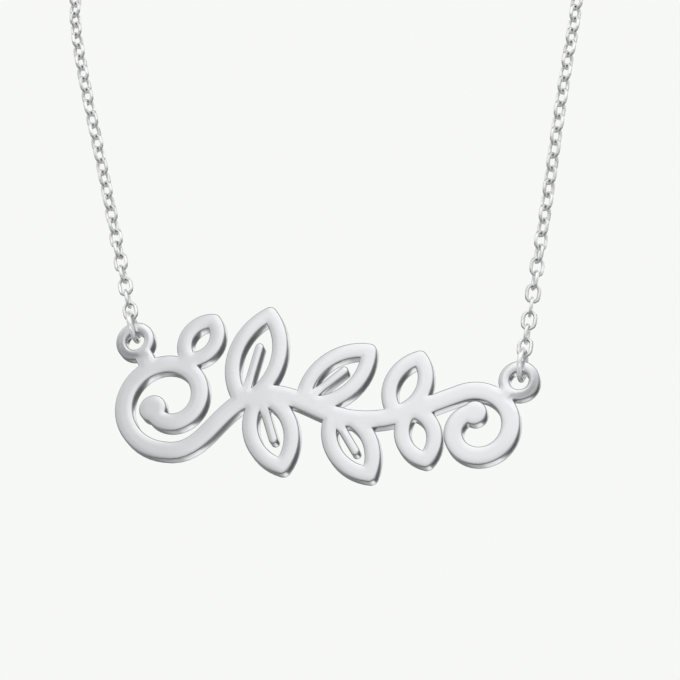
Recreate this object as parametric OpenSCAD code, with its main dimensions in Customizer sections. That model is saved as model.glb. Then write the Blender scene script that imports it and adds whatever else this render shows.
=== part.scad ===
// Nameplate necklace: a pierced vine plate hung by two rings from a fine cable chain.
// +Z is up and the front faces -Y. The origin is at the nape, on the inner face of the clasp,
// where the necklace rests on the back of the neck. All sizes are in millimetres.

/* [Plate] */
// Width over both hang loops
plate_w = 39; // [34:0.5:46]
// Height from the lowest leaf tip to the highest, before the slope
plate_h = 16.4; // [14:0.2:20]
// Thickness of the sheet that the plate is cut from
plate_t = 1.2; // [0.8:0.05:1.6]
// Slope of the vine down to the right, in degrees
plate_tilt = 5.8; // [0:0.1:9]
// Width of the main stem
stem_w = 1.65; // [1.3:0.05:1.9]
// Width of the band round each leaf
leaf_w = 1.42; // [1.1:0.02:1.6]
// Width of the vein inside a large leaf
vein_w = 0.8; // [0.6:0.05:0.9]
// Diameter of the round bud that ends the left scroll
left_bud_d = 2.5; // [2:0.1:3]
// Diameter of the round bud that ends the right scroll
right_bud_d = 2.2; // [1.9:0.1:2.6]

/* [Hang loops] */
// Outer diameter of a hang loop
loop_d = 3.6; // [3.2:0.1:4.2]
// Bore of a hang loop
loop_bore = 1.7; // [1.5:0.05:2]
// Height of the left loop's centre above the lowest leaf, before the plate's slope
left_loop_h = 13.1; // [12:0.1:14.5]
// Height of the right loop's centre above the lowest leaf, before the plate's slope
right_loop_h = 9.45; // [8.8:0.05:11]

/* [Rings] */
// Outer diameter of a connector ring
ring_d = 3.1; // [2.9:0.05:3.6]
// Wire of a connector ring
ring_wire = 0.45; // [0.35:0.01:0.5]
// Gap between a connector ring and what it hangs in or carries
ring_gap = 0.14; // [0.1:0.01:0.18]

/* [Chain] */
// Wire of a chain link
link_wire = 0.32; // [0.26:0.01:0.36]
// Length of the space inside a link
link_inner_l = 1.4; // [1.2:0.01:1.5]
// Width of the space inside a link
link_inner_w = 0.74; // [0.68:0.01:0.9]
// Gap between the wires of neighbouring links
link_gap = 0.11; // [0.11:0.01:0.16]
// Links on each side that are modelled one by one, counted from the plate
front_links = 54; // [30:1:100]
// Lean of the left strand away from upright, in degrees
left_lean = 12; // [6:0.1:14]
// Lean of the right strand away from upright, in degrees
right_lean = 9.5; // [5:0.1:12]
// Height of each strand's straight stretch above its connector ring
straight_h = 30; // [22:0.5:34]
// Depth from the nape to the plate's middle plane
front_depth = 108; // [100:1:116]
// Drop from the nape to the middle between the hang loops
front_drop = 106; // [100:0.5:112]

/* [Clasp] */
// Outer diameter of the clasp ring
clasp_d = 6; // [5.4:0.1:7]
// Diameter of the clasp ring's tube
clasp_tube = 1.3; // [1.1:0.05:1.5]
// Diameter of the thumb knob on the clasp
knob_d = 0.8; // [0.6:0.05:1]
// Height of the thumb knob above the clasp ring's tube
knob_h = 0.7; // [0.4:0.05:1]
// Outer diameter of the clasp's eye
eye_d = 2.6; // [2.4:0.05:3]
// Wire of the clasp's eye
eye_wire = 0.6; // [0.5:0.02:0.66]
// Outer diameter of the end ring that the clasp holds
end_ring_d = 3.6; // [3.4:0.05:4.2]
// Wire of the end ring
end_ring_wire = 0.6; // [0.5:0.02:0.66]
// Angle of the end ring to the level, where it leans back on the nape
end_ring_tilt = 30; // [0:1:32]
// Gap between the clasp ring and the end ring in it
end_ring_gap = 0.2; // [0.12:0.01:0.3]

/* [Hidden] */
$fn = 48;
silver = [0.84, 0.85, 0.86];
left = -1;
right = 1;

// Steps of the plate's outlines
turn_step = 7;
curve_steps = 16;
cap_step = 15;
leaf_steps = 16;

// Scrolls: centre as shares of the plate's width and height, radii as shares of its height
left_scroll_at = [-0.353 * plate_w, 0.45 * plate_h];
left_scroll_in = 0.1 * plate_h;
left_scroll_out = 0.292 * plate_h;
left_scroll_turn = [-150, 270];
right_scroll_at = [0.366 * plate_w, 0.299 * plate_h];
right_scroll_in = 0.0915 * plate_h;
right_scroll_out = 0.2256 * plate_h;
right_scroll_turn = [120, -260];

// Stem between the scrolls: place as shares of width and height, then its heading in degrees
KNOT_X = 0;
KNOT_Z = 1;
KNOT_HEADING = 2;
stem_knots = [
    [-0.133, 0.488, 8],
    [0.056, 0.36, -12],
];
stem_pull = [1.25, 1.05, 1.15];

// Leaves: base as shares of the plate's width and height, heading in degrees, length and
// breadth as shares of the plate's height, and whether the leaf has a vein
LEAF_X = 0;
LEAF_Z = 1;
LEAF_HEADING = 2;
LEAF_LENGTH = 3;
LEAF_BREADTH = 4;
LEAF_VEIN = 5;
leaves = [
    [-0.318, 0.689, 64, 0.34, 0.256, false],
    [-0.177, 0.439, 80, 0.613, 0.335, true],
    [-0.036, 0.439, 42, 0.537, 0.305, true],
    [0.18, 0.384, 72, 0.42, 0.268, false],
    [-0.138, 0.476, -68, 0.52, 0.305, true],
    [0.036, 0.378, -56, 0.5, 0.285, true],
    [0.215, 0.402, -70, 0.385, 0.256, false],
];
vein_share = 0.62;

// Places of the hang loops in the plate, from the middle of its lowest edge, before its slope
left_loop_at = [-(plate_w - loop_d) / 2, left_loop_h];
right_loop_at = [(plate_w - loop_d) / 2, right_loop_h];
hang_middle = (left_loop_at + right_loop_at) / 2;

// Connector rings
ring_r = (ring_d - ring_wire) / 2;
ring_inner_r = ring_d / 2 - ring_wire;
// How far the ring's curve rises within the plate's thickness
ring_rise = ring_inner_r - sqrt(ring_inner_r ^ 2 - (plate_t / 2) ^ 2);
// Height of a ring's centre above its loop's centre, along the ring's lean
ring_up = loop_bore / 2 - ring_rise - ring_gap + ring_inner_r;
// Height of the first link's lowest wire above its loop's centre, along the lean
hang_up = ring_up + ring_inner_r - ring_gap - link_wire / 2;

// Chain
link_r = (link_inner_w + link_wire) / 2;
link_leg = link_inner_l - link_inner_w;
link_half = (link_inner_l + link_wire) / 2;
link_pitch = link_inner_l - link_gap;
// Turn of the links above the plate, left and right: from the photo's angle both look alike
link_slack_roll = [32, 58];
roll_from = 1;
roll_links = 9;
tube_r = link_r + link_wire / 3;
tube_sides = 10;
tube_step = 3.4;
tube_clear = 0.15;
spline_steps = 24;

// Right half of the route over the collarbone and round the neck, as a few chosen points.
// The left half mirrors it.
neck_route = [
    [26.5, -105, -57],
    [34.5, -97.5, -40],
    [43.5, -84, -26.5],
    [50.5, -65, -16],
    [52.5, -45, -9],
    [47.5, -25, -4],
    [33.5, -9, -1],
    [16.5, -1, 0],
];
neck_middle_y = -52;
blend_depth = 20;

// Clasp, lying flat on the nape
clasp_y = clasp_tube / 2;
clasp_r = (clasp_d - clasp_tube) / 2;
eye_r = (eye_d - eye_wire) / 2;
eye_x = -(clasp_d / 2 + eye_r - eye_wire / 2);
end_ring_r = (end_ring_d - end_ring_wire) / 2;
end_ring_x = clasp_r - clasp_tube / 2 - end_ring_gap - end_ring_wire / 2 + end_ring_r;
chain_end_x = [eye_x - eye_r - eye_wire / 2, end_ring_x + end_ring_r + end_ring_wire / 2];

function polar(c, r, a) = [c.x + r * cos(a), c.y + r * sin(a)];
function unit(v) = v / norm(v);
function heading(p, q) = atan2(q.y - p.y, q.x - p.x);
function clamp(x) = max(0, min(1, x));

// A scroll: a spiral whose radius grows evenly with its angle
function scroll(c, r0, r1, turn) =
    let (n = ceil(abs(turn[1] - turn[0]) / turn_step))
    [for (i = [0:n]) polar(c, r0 + (r1 - r0) * i / n, turn[0] + (turn[1] - turn[0]) * i / n)];

// A cubic from p to q with a heading at each end
function bend(p, a, q, b, pull) =
    let (l = pull * norm(q - p), u = l * [cos(a), sin(a)], v = l * [cos(b), sin(b)])
    [for (i = [1:curve_steps - 1]) let (t = i / curve_steps)
        (2 * t^3 - 3 * t^2 + 1) * p + (t^3 - 2 * t^2 + t) * u
        + (3 * t^2 - 2 * t^3) * q + (t^3 - t^2) * v];

function across(path, i) =
    let (d = path[min(i + 1, len(path) - 1)] - path[max(i - 1, 0)]) [-d.y, d.x] / norm(d);

function cap(p, a, r) = [for (t = [90 - cap_step:-cap_step:-90 + cap_step]) polar(p, r, a + t)];

// Outline of a band of width w along a path, with round ends
function band(path, w) =
    let (n = len(path) - 1)
    concat(
        [for (i = [0:n]) path[i] + across(path, i) * w / 2],
        cap(path[n], heading(path[n - 1], path[n]), w / 2),
        [for (i = [n:-1:0]) path[i] - across(path, i) * w / 2],
        cap(path[0], heading(path[1], path[0]), w / 2)
    );

function placed(points, at, a) =
    [for (p = points) at + [p.x * cos(a) - p.y * sin(a), p.x * sin(a) + p.y * cos(a)]];

// A leaf's outline is two arcs that meet in a point at each end. l and b are the length and
// breadth of the band's middle line, and grow moves the outline outwards from that line.
function leaf_arc_r(l, b) = (l * l + b * b) / (4 * b);

function leaf_outside(l, b, grow) =
    let (r = leaf_arc_r(l, b), d = r - b / 2, a = asin(l / (2 * r)), n = leaf_steps)
    concat(
        [for (i = [0:n]) let (t = a - 2 * a * i / n)
            [l / 2 + (r + grow) * sin(t), (r + grow) * cos(t) - d]],
        [for (t = [90 + a + cap_step:cap_step:270 - a - cap_step]) grow * [cos(t), sin(t)]],
        [for (i = [0:n]) let (t = -a + 2 * a * i / n)
            [l / 2 + (r + grow) * sin(t), d - (r + grow) * cos(t)]],
        [for (t = [-90 + a + cap_step:cap_step:90 - a - cap_step])
            [l + grow * cos(t), grow * sin(t)]]
    );

function leaf_eye(l, b, shrink) =
    let (r = leaf_arc_r(l, b), d = r - b / 2, s = r - shrink, a = acos(d / s), n = leaf_steps)
    concat(
        [for (i = [0:n]) let (t = a - 2 * a * i / n) [l / 2 + s * sin(t), s * cos(t) - d]],
        [for (i = [1:n - 1]) let (t = -a + 2 * a * i / n) [l / 2 + s * sin(t), d - s * cos(t)]]
    );

// The vine's middle line: left scroll from its bud outwards, stem, right scroll to its bud
left_curl = scroll(left_scroll_at, left_scroll_in, left_scroll_out, left_scroll_turn);
right_curl = scroll(right_scroll_at, right_scroll_out, right_scroll_in, right_scroll_turn);
knot_at = [for (k = stem_knots) [k[KNOT_X] * plate_w, k[KNOT_Z] * plate_h]];
left_end = len(left_curl) - 1;
left_heading = heading(left_curl[left_end - 1], left_curl[left_end]);
right_heading = heading(right_curl[0], right_curl[1]);
vine = concat(
    left_curl,
    bend(left_curl[left_end], left_heading, knot_at[0], stem_knots[0][KNOT_HEADING], stem_pull[0]),
    [knot_at[0]],
    bend(knot_at[0], stem_knots[0][KNOT_HEADING], knot_at[1], stem_knots[1][KNOT_HEADING],
        stem_pull[1]),
    [knot_at[1]],
    bend(knot_at[1], stem_knots[1][KNOT_HEADING], right_curl[0], right_heading, stem_pull[2]),
    right_curl
);

// Radius of a scroll in the heading of a point, on the turn next to the scroll's outer end
function scroll_r_under(point, c, outer_r, inner_r, outer_turn, inner_turn) =
    let (sweep = inner_turn - outer_turn,
         past = sign(sweep) * (heading(c, point) - outer_turn) % 360,
         away = past < 0 ? past + 360 : past)
    outer_r + (inner_r - outer_r) * away / abs(sweep);

// The short neck that joins a hang loop to the scroll under it. It ends within the scroll's band.
function neck(loop_at, scroll_at, scroll_r) =
    let (d = unit(scroll_at - loop_at), near = loop_at + d * loop_bore / 2,
         far = scroll_at - d * (scroll_r + stem_w / 4))
    [near, (near + far) / 2, far];

left_neck = neck(left_loop_at, left_scroll_at, scroll_r_under(left_loop_at, left_scroll_at,
    left_scroll_out, left_scroll_in, left_scroll_turn[1], left_scroll_turn[0]));
right_neck = neck(right_loop_at, right_scroll_at, scroll_r_under(right_loop_at, right_scroll_at,
    right_scroll_out, right_scroll_in, right_scroll_turn[0], right_scroll_turn[1]));

// An outline cut from the sheet, in the plate's own plane
module cut() {
    translate([0, 0, -plate_t / 2]) linear_extrude(height = plate_t) children();
}

module leaf_band(leaf) {
    l = leaf[LEAF_LENGTH] * plate_h - leaf_w;
    b = leaf[LEAF_BREADTH] * plate_h - leaf_w;
    at = [leaf[LEAF_X] * plate_w, leaf[LEAF_Z] * plate_h];
    a = leaf[LEAF_HEADING];
    cut() difference() {
        polygon(placed(leaf_outside(l, b, leaf_w / 2), at, a));
        polygon(placed(leaf_eye(l, b, leaf_w / 2), at, a));
    }
    if (leaf[LEAF_VEIN]) {
        vein = [for (s = [0, 0.5, 1]) at + s * vein_share * l * [cos(a), sin(a)]];
        cut() polygon(band(vein, vein_w));
    }
}

module hang_loop(at, neck) {
    cut() polygon(band(neck, stem_w));
    cut() translate(at) circle(d = loop_d);
}

// From the plate's own plane to its place below the nape
module on_plate() {
    translate([0, -front_depth, -front_drop]) rotate([90, 0, 0])
        rotate([0, 0, -plate_tilt]) translate(-hang_middle) children();
}

module nameplate() {
    color(silver) on_plate() difference() {
        union() {
            cut() polygon(band(vine, stem_w));
            for (leaf = leaves) leaf_band(leaf);
            hang_loop(left_loop_at, left_neck);
            hang_loop(right_loop_at, right_neck);
            cut() translate(left_curl[0]) circle(d = left_bud_d);
            cut() translate(right_curl[len(right_curl) - 1]) circle(d = right_bud_d);
        }
        for (at = [left_loop_at, right_loop_at])
            translate([at.x, at.y, -plate_t]) cylinder(d = loop_bore, h = 2 * plate_t);
    }
}

module wire_ring(r, wire) {
    rotate_extrude() translate([r, 0]) circle(d = wire);
}

function lean(side) = side == left ? -left_lean : right_lean;
function loop_at(side) = side == left ? left_loop_at : right_loop_at;
// A point above a hang loop's centre, measured along its strand
function above_loop(side, up) =
    let (p = loop_at(side) - hang_middle, c = cos(plate_tilt), s = sin(plate_tilt))
    [p.x * c + p.y * s + up * sin(lean(side)), -front_depth,
     p.y * c - p.x * s - front_drop + up * cos(lean(side))];

module connector_ring(side) {
    color(silver) translate(above_loop(side, ring_up))
        rotate([0, lean(side), 0]) rotate([0, 90, 0]) wire_ring(ring_r, ring_wire);
}

// The route of one strand, from the lowest wire of its first link to the clasp
function route_points(side) =
    let (rise = straight_h / cos(lean(side)))
    concat(
        [for (s = [0, 0.5, 1]) above_loop(side, hang_up + s * rise)],
        [for (p = neck_route) [side * p.x, p.y, p.z]],
        [[chain_end_x[side == left ? 0 : 1], clasp_y, 0]]
    );

function spline(p, i, t) =
    let (n = len(p) - 1,
         a = i > 0 ? p[i - 1] : 2 * p[0] - p[1], b = p[i], c = p[i + 1],
         d = i + 2 <= n ? p[i + 2] : 2 * p[n] - p[n - 1])
    (2 * b + (c - a) * t + (2 * a - 5 * b + 4 * c - d) * t^2 + (3 * b - a - 3 * c + d) * t^3) / 2;

function traced(p) = concat(
    [for (i = [0:len(p) - 2]) for (k = [0:spline_steps - 1]) spline(p, i, k / spline_steps)],
    [p[len(p) - 1]]
);

// Length along a traced route at each of its points
function mileage(q) =
    [for (i = 0, s = 0; i < len(q); s = s + (i + 1 < len(q) ? norm(q[i + 1] - q[i]) : 0),
         i = i + 1) s];

left_trace = traced(route_points(left));
right_trace = traced(route_points(right));
left_miles = mileage(left_trace);
right_miles = mileage(right_trace);

function axis_table(q, m, k) = [for (i = [0:len(q) - 1]) [m[i], q[i][k]]];
tables = [
    [for (k = [0:2]) axis_table(left_trace, left_miles, k)],
    [for (k = [0:2]) axis_table(right_trace, right_miles, k)],
];
strand_l = [left_miles[len(left_miles) - 1], right_miles[len(right_miles) - 1]];

function index(side) = side == left ? 0 : 1;
function route_at(side, s) = [for (k = [0:2]) lookup(s, tables[index(side)][k])];
function route_heading(side, s) =
    let (l = strand_l[index(side)], h = link_pitch / 2)
    unit(route_at(side, min(s + h, l)) - route_at(side, max(s - h, 0)));

// Direction that faces away from the wearer, square to the route
function outward(side, s) =
    let (p = route_at(side, s), t = route_heading(side, s),
         b = clamp((p.y + front_depth) / blend_depth),
         o = unit([p.x * b, p.y - neck_middle_y, 0]))
    unit(o - (o * t) * t);

// One link in the XZ plane: two round ends and two straight legs
module chain_link() {
    for (end = [1, -1])
        translate([0, 0, end * link_leg / 2]) rotate([end * 90, 0, 0])
            rotate_extrude(angle = 180) translate([link_r, 0]) circle(d = link_wire);
    for (x = [-link_r, link_r])
        translate([x, 0, -link_leg / 2]) cylinder(d = link_wire, h = link_leg);
}

// Every second link is turned by a right angle, and the strand twists evenly above the plate
module front_strand(side) {
    color(silver) for (i = [0:front_links - 1]) {
        s = link_half + i * link_pitch;
        t = route_heading(side, s);
        o = outward(side, s);
        slack_roll = side * link_slack_roll[index(side)];
        roll = 90 * (i % 2) + slack_roll * clamp((i - roll_from) / roll_links);
        n = o * cos(roll) + cross(t, o) * sin(roll);
        x = cross(n, t);
        p = route_at(side, s);
        multmatrix([
            [x.x, n.x, t.x, p.x],
            [x.y, n.y, t.y, p.y],
            [x.z, n.z, t.z, p.z],
        ]) chain_link();
    }
}

// The hidden stretch of a strand, as a round tube of the chain's own breadth
module back_strand(side) {
    from = (front_links - 1) * link_pitch + 2 * link_half + link_wire / 2 + tube_clear;
    to = strand_l[index(side)] - tube_clear;
    n = ceil((to - from) / tube_step);
    rings = [for (i = [0:n]) let (s = from + (to - from) * i / n, p = route_at(side, s),
        t = route_heading(side, s), o = outward(side, s), w = cross(t, o))
        [for (k = [0:tube_sides - 1]) let (a = 360 * k / tube_sides)
            p + tube_r * (o * cos(a) + w * sin(a))]];
    points = [for (r = rings) each r];
    walls = [for (i = [0:n - 1]) for (k = [0:tube_sides - 1])
        let (j = (k + 1) % tube_sides, a = i * tube_sides, b = a + tube_sides)
        [a + k, b + k, b + j, a + j]];
    first = [for (k = [0:tube_sides - 1]) k];
    last = [for (k = [tube_sides - 1:-1:0]) n * tube_sides + k];
    color(silver) polyhedron(points, concat([first], walls, [last]));
}

module clasp() {
    color(silver) translate([0, clasp_y, 0]) {
        rotate([90, 0, 0]) wire_ring(clasp_r, clasp_tube);
        translate([eye_x, 0, 0]) rotate([90, 0, 0]) wire_ring(eye_r, eye_wire);
        translate([0, 0, clasp_r]) cylinder(d = knob_d, h = clasp_tube / 2 + knob_h);
    }
}

module end_ring() {
    color(silver) translate([end_ring_x, clasp_y, 0]) rotate([end_ring_tilt, 0, 0])
        wire_ring(end_ring_r, end_ring_wire);
}

nameplate();
connector_ring(left);  // ring_left
connector_ring(right);  // ring_right
front_strand(left);  // chain_left_front
front_strand(right);  // chain_right_front
back_strand(left);  // chain_left_back
back_strand(right);  // chain_right_back
clasp();
end_ring();
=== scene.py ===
"""Nameplate necklace: the look of every piece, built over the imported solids.

A pierced vine plate hangs by two connector rings from a fine cable chain, which goes round the
neck hollow to a ring clasp at the nape. Lengths are metres in the part's own frame: +Z is up,
the front faces -Y, and the origin is at the nape on the inner face of the clasp.
"""

import logging
import math
from dataclasses import dataclass, field, replace
from enum import Enum
from typing import Any

import bmesh
import bpy
import numpy as np
from bpy.types import Material, Node, NodeSocket, NodeTree, Object
from mathutils import Matrix, Vector
from mathutils.geometry import delaunay_2d_cdt


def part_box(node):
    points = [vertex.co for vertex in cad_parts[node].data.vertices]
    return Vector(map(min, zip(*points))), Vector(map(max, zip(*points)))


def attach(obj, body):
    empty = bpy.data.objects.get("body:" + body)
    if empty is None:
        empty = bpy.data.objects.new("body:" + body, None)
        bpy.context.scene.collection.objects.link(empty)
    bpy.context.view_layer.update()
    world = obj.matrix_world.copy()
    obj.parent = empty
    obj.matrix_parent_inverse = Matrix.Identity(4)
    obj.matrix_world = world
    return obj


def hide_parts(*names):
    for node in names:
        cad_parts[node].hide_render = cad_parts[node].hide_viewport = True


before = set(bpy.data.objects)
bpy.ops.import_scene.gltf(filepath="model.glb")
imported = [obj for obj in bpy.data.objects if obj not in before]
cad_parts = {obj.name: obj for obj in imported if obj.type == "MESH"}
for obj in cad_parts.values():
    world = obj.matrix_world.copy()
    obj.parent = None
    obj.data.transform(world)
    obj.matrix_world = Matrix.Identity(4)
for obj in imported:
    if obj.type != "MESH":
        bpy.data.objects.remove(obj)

Array = np.ndarray
Shell = tuple[Array, Array]
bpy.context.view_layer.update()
IMAGE_PX = 680
MM = 0.001
TINY = 1e-9
BATCH = 1000
QUARTER_TURN_DEG = 90.0
HALF_TURN_DEG = 180.0
CHAIN = "chain"
PENDANT = "pendant"
X_AXIS, Y_AXIS, Z_AXIS = np.eye(3)

log = logging.getLogger("necklace")


class Side(Enum):
    """A side of the necklace as seen from the front, with its sign along X."""

    LEFT = -1
    RIGHT = 1

    @property
    def word(self) -> str:
        """The side's name in the names of pieces."""
        return self.name.lower()


def unit(v: Array) -> Array:
    """Scales vectors, which lie along the last axis of an array, to length one."""
    return v / np.linalg.norm(v, axis=-1, keepdims=True)


def smoothstep(x: Array, low: float, high: float) -> Array:
    """Rises from 0 where x is low to 1 where it is high, along the cubic 3t^2 - 2t^3."""
    t = np.clip((x - low) / (high - low), 0.0, 1.0)
    return t * t * (3.0 - 2.0 * t)


def circle(steps: int) -> Array:
    """Angles of equal steps once round, from 0."""
    return np.linspace(0.0, 2.0 * math.pi, steps, endpoint=False)


def batches(points: Array) -> list[Array]:
    """Cuts an array of points into parts of about a thousand rows, to spare memory."""
    return np.array_split(points, max(1, len(points) // BATCH))


def grid_faces(rows: int, columns: int, close_rows: bool, close_columns: bool) -> Array:
    """The four-sided faces of a grid of vertices that is stored row by row.

    Args:
        rows: Number of rows.
        columns: Number of columns.
        close_rows: Whether the last row joins the first.
        close_columns: Whether the last column joins the first.

    Returns:
        An array of faces, four vertex indices each.
    """
    i = np.arange(rows if close_rows else rows - 1)[:, None]
    j = np.arange(columns if close_columns else columns - 1)[None, :]
    row = i * columns
    row_next = (i + 1) % rows * columns
    j_next = (j + 1) % columns
    corners = (row + j, row + j_next, row_next + j_next, row_next + j)
    return np.stack(corners, axis=-1).reshape(-1, 4)


def facing_out(points: Array, faces: Array) -> Array:
    """Turns a closed grid's faces round where they point inwards.

    The signed volume is a sixth of the sum of a.(b x c) over the triangles of the faces.

    Args:
        points: Vertices, one row each.
        faces: Four-sided faces of one closed surface.

    Returns:
        The faces, in the order that points outwards.
    """
    a, b, c, d = (points[faces[:, k]] for k in range(4))
    volume = np.einsum("ij,ij->i", a, np.cross(b, c)).sum()
    volume += np.einsum("ij,ij->i", a, np.cross(c, d)).sum()
    return faces if volume > 0.0 else faces[:, ::-1]


def new_piece(name: str, points: Array, faces: list, material: Material,
              sharp_deg: float = 60.0) -> Object:
    """Makes a smooth-shaded mesh object at the origin.

    Args:
        name: The object's name.
        points: Vertices, one row each.
        faces: Faces as sequences of vertex indices.
        material: What the object wears.
        sharp_deg: Edges that turn by more than this stay sharp.

    Returns:
        The new object, linked to the scene.
    """
    mesh = bpy.data.meshes.new(name)
    mesh.from_pydata(points.tolist(), [], faces)
    mesh.update()
    mesh.polygons.foreach_set("use_smooth", np.ones(len(mesh.polygons), dtype=bool))
    mesh.set_sharp_from_angle(angle=math.radians(sharp_deg))
    mesh.materials.append(material)
    piece = bpy.data.objects.new(name, mesh)
    bpy.context.scene.collection.objects.link(piece)
    return piece


def set_attribute(piece: Object, name: str, values: Array) -> None:
    """Stores one value per vertex of a mesh, under a name that a finish reads."""
    attribute = piece.data.attributes.new(name, "FLOAT", "POINT")
    attribute.data.foreach_set("value", values.astype(np.float32))


def join_shells(shells: list[Shell]) -> tuple[Array, list]:
    """Puts several closed surfaces into one list of vertices and faces.

    Args:
        shells: Pairs of vertices and four-sided faces.

    Returns:
        All the vertices, and all the faces with their indices moved on.
    """
    points = np.concatenate([p for p, _ in shells])
    starts = np.cumsum([0] + [len(p) for p, _ in shells[:-1]])
    faces = [face for start, (_, f) in zip(starts, shells) for face in (f + start).tolist()]
    return points, faces


def wire_ring(centre: Array, u: Array, v: Array, radius: float, wire: float, around: int,
              across: int) -> Shell:
    """A torus: a circle of the wire's radius carried round a circle in the plane of u and v.

    A point is centre + (R + r cos b)(u cos a + v sin a) + (u x v) r sin b.

    Args:
        centre: The ring's centre.
        u: First direction in the ring's plane.
        v: Second direction in the ring's plane, square to u.
        radius: From the centre to the wire's middle.
        wire: The wire's diameter.
        around: Steps round the ring.
        across: Steps round the wire.

    Returns:
        Vertices and four-sided faces.
    """
    a = circle(around)[:, None, None]
    b = circle(across)[None, :, None]
    r = wire / 2.0
    spoke = u * np.cos(a) + v * np.sin(a)
    points = centre + (radius + r * np.cos(b)) * spoke + np.cross(u, v) * r * np.sin(b)
    points = points.reshape(-1, 3)
    return points, facing_out(points, grid_faces(around, across, True, True))


def turned_shape(centre: Array, u: Array, v: Array, profile: Array, around: int) -> Shell:
    """A profile turned about an axis, with each end closed at a pole of many equal points.

    A point is centre + w h + (u cos a + v sin a) r, with w = u x v.

    Args:
        centre: Where heights are counted from.
        u: First direction across the axis.
        v: Second direction across the axis, square to u.
        profile: Rows of radius and height, from pole to pole.
        around: Steps round the axis.

    Returns:
        Vertices and four-sided faces.
    """
    a = circle(around)[None, :, None]
    r = profile[:, 0][:, None, None]
    h = profile[:, 1][:, None, None]
    points = centre + np.cross(u, v) * h + (u * np.cos(a) + v * np.sin(a)) * r
    points = points.reshape(-1, 3)
    return points, facing_out(points, grid_faces(len(profile), around, False, True))


def feed(tree: NodeTree, socket: NodeSocket, value: Any) -> None:
    """Links an input socket to another node's output, or sets it to a plain value.

    Args:
        tree: The node tree of both.
        socket: The input socket.
        value: The output socket or the plain value.
    """
    if isinstance(value, NodeSocket):
        tree.links.new(value, socket)
    else:
        socket.default_value = value


def add_node(tree: NodeTree, kind: str, *feeds: Any, **values: Any) -> Node:
    """Adds a shader node, sets its properties and feeds its input sockets.

    Args:
        tree: The material's or world's node tree.
        kind: The node's type, without the words that all of them start with.
        *feeds: What goes into the first sockets, in order.
        **values: What goes into a property or socket by name, with underscores for spaces.

    Returns:
        The new node.
    """
    node = tree.nodes.new(f"ShaderNode{kind}")
    for key, value in values.items():
        if hasattr(node, key):
            setattr(node, key, value)
        else:
            feed(tree, node.inputs[key.replace("_", " ")], value)
    for socket, value in zip(node.inputs, feeds):
        feed(tree, socket, value)
    return node


@dataclass(frozen=True)
class SilverFinish:
    """Polished silver with a slight wave from buffing and fine hairlines, duller and darkened to a
    painted shade where its mask is set.
    """

    name: str
    colour: tuple[float, float, float]
    gloss: float
    dull: float
    wave_size: float
    wave_depth: float
    hairline_size: float
    hairline_depth: float
    recess_attribute: str
    recess_colour: tuple[float, float, float]
    recess_dull: float
    metallic: float = 1.0
    hairline_stretch: tuple[float, float, float] = (1.0, 1.0, 1.0)
    hairline_span: tuple[float, float] = (0.3, 0.7)
    wave_detail: float = 1.0
    hairline_detail: float = 3.0

    def material(self) -> Material:
        """Builds the finish as shader nodes.

        Returns:
            The material.
        """
        material = bpy.data.materials.new(self.name)
        material.use_nodes = True
        tree = material.node_tree
        place = add_node(tree, "TexCoord").outputs["Object"]
        shade_mask = add_node(tree, "Attribute", attribute_name=self.recess_attribute).outputs["Fac"]

        wave = add_node(tree, "TexNoise", place, Scale=1.0 / self.wave_size,
                        Detail=self.wave_detail)
        stretch = add_node(tree, "Mapping", place, Scale=self.hairline_stretch)
        hairline = add_node(tree, "TexNoise", stretch.outputs["Vector"],
                            Scale=1.0 / self.hairline_size, Detail=self.hairline_detail)
        waved = add_node(tree, "Bump", Strength=1.0, Distance=self.wave_depth,
                         Height=wave.outputs["Fac"])
        combed = add_node(tree, "Bump", Strength=1.0, Distance=self.hairline_depth,
                          Height=hairline.outputs["Fac"], Normal=waved.outputs["Normal"])
        rough = add_node(tree, "MapRange", hairline.outputs["Fac"], *self.hairline_span,
                         self.gloss, self.dull)
        duller = add_node(tree, "Math", shade_mask, self.recess_dull, rough.outputs["Result"],
                          operation="MULTIPLY_ADD")

        # Painted shade: where the mask is set, the base colour darkens towards the painted shade
        # colour.
        tone = add_node(tree, "Mix", shade_mask, data_type="RGBA")
        ends = [socket for socket in tone.inputs if socket.type == "RGBA"]
        for socket, colour in zip(ends, (self.colour, self.recess_colour)):
            socket.default_value = (*colour, 1.0)
        shade = next(socket for socket in tone.outputs if socket.type == "RGBA")

        silver = tree.nodes["Principled BSDF"]
        feed(tree, silver.inputs["Metallic"], self.metallic)
        feed(tree, silver.inputs["Base Color"], shade)
        feed(tree, silver.inputs["Roughness"], duller.outputs["Value"])
        feed(tree, silver.inputs["Normal"], combed.outputs["Normal"])
        return material


PLATE_FINISH = SilverFinish(
    name="polished_silver_plate",
    colour=(0.93, 0.935, 0.95),
    gloss=0.1,
    dull=0.16,
    wave_size=6.0 * MM,
    wave_depth=0.05 * MM,
    hairline_size=0.25 * MM,
    hairline_stretch=(0.35, 1.0, 1.0),
    hairline_depth=0.0009 * MM,
    # Satin mask, which also paints a dark reflection round the edges and shade on the hang loops.
    recess_attribute="satin_and_shade",
    recess_colour=(0.5, 0.505, 0.515),
    recess_dull=0.12,
)
RING_FINISH = SilverFinish(
    name="polished_silver_ring",
    colour=(0.95, 0.95, 0.95),
    gloss=0.12,
    dull=0.2,
    wave_size=2.0 * MM,
    wave_depth=0.006 * MM,
    hairline_size=0.16 * MM,
    hairline_depth=0.0006 * MM,
    # Painted shade where the ring meets the hang loop and the first link.
    recess_attribute="seat_shade",
    recess_colour=(0.6, 0.6, 0.6),
    recess_dull=0.1,
    metallic=0.72,
)
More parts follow.
